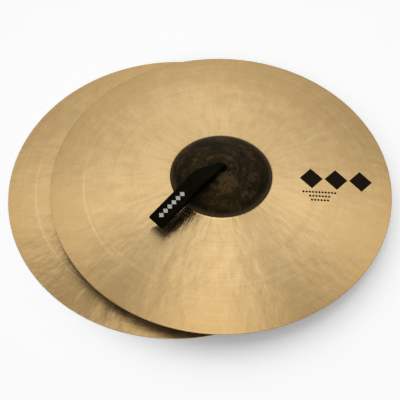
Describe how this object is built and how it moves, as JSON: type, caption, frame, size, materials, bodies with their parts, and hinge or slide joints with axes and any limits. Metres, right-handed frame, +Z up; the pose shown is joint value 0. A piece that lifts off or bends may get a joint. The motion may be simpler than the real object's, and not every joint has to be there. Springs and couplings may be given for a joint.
{
  "type": "hand cymbals",
  "caption": "Pair of large bronze hand cymbals, one lying on the other, each with a bell, a lathed bow and a knotted leather grip strap.",
  "frame": {"origin": "middle of the assembly's box, on the surface that the lower cymbal's rim rests on", "axes": "+Z up, away from the surface; the upper cymbal's strap lies towards -Y and the lower cymbal's strap towards +X"},
  "size_m": [0.5624, 0.5488, 0.0893],
  "materials": {
    "bell_bronze": "lathed and hammered bell bronze, raw dark patina on the bell",
    "black_leather": "smooth black dyed strap leather"
  },
  "bodies": {
    "lower_cymbal": {"lower_cymbal_plate": "bell_bronze"},
    "lower_strap_knot": {"lower_strap_neck": "black_leather", "lower_strap_knot_tail_1": "black_leather", "lower_strap_knot_tail_2": "black_leather", "lower_strap_knot_tail_3": "black_leather", "lower_strap_knot_tail_4": "black_leather"},
    "lower_strap_grip": {"lower_strap_grip_loop": "black_leather"},
    "upper_cymbal": {"upper_cymbal_plate": "bell_bronze"},
    "upper_strap_knot": {"upper_strap_neck": "black_leather", "upper_strap_knot_tail_1": "black_leather", "upper_strap_knot_tail_2": "black_leather", "upper_strap_knot_tail_3": "black_leather", "upper_strap_knot_tail_4": "black_leather"},
    "upper_strap_grip": {"upper_strap_grip_loop": "black_leather"}
  },
  "joints": [
    {"name": "upper_cymbal_lift", "type": "slide", "parent": "lower_cymbal", "child": "upper_cymbal", "axis": [0, 0, 1], "range_m": [0, 0.25]},
    {"name": "upper_strap_swivel", "type": "hinge", "parent": "upper_cymbal", "child": "upper_strap_knot", "pos_m": [0.0272, 0.0204, 0.0261], "axis": [-0.0157, 0.0231, 0.9996], "continuous": true},
    {"name": "upper_strap_raise", "type": "hinge", "parent": "upper_strap_knot", "child": "upper_strap_grip", "pos_m": [0.0265, 0.02143, 0.07083], "axis": [-0.9999, -0.0002, -0.0157], "range_deg": [0, 90]},
    {"name": "lower_strap_swivel", "type": "hinge", "parent": "lower_cymbal", "child": "lower_strap_knot", "pos_m": [-0.0272, -0.0204, 0], "axis": [0, 0, 1], "range_deg": [-10, 70]},
    {"name": "lower_strap_raise", "type": "hinge", "parent": "lower_strap_knot", "child": "lower_strap_grip", "pos_m": [-0.0272, -0.0204, 0.04475], "axis": [0, -1, 0], "range_deg": [0, 90]}
  ],
  "couplings": [
    {"joint": "lower_strap_raise", "follows": "upper_cymbal_lift", "rad_per_m": 6.283}
  ]
}
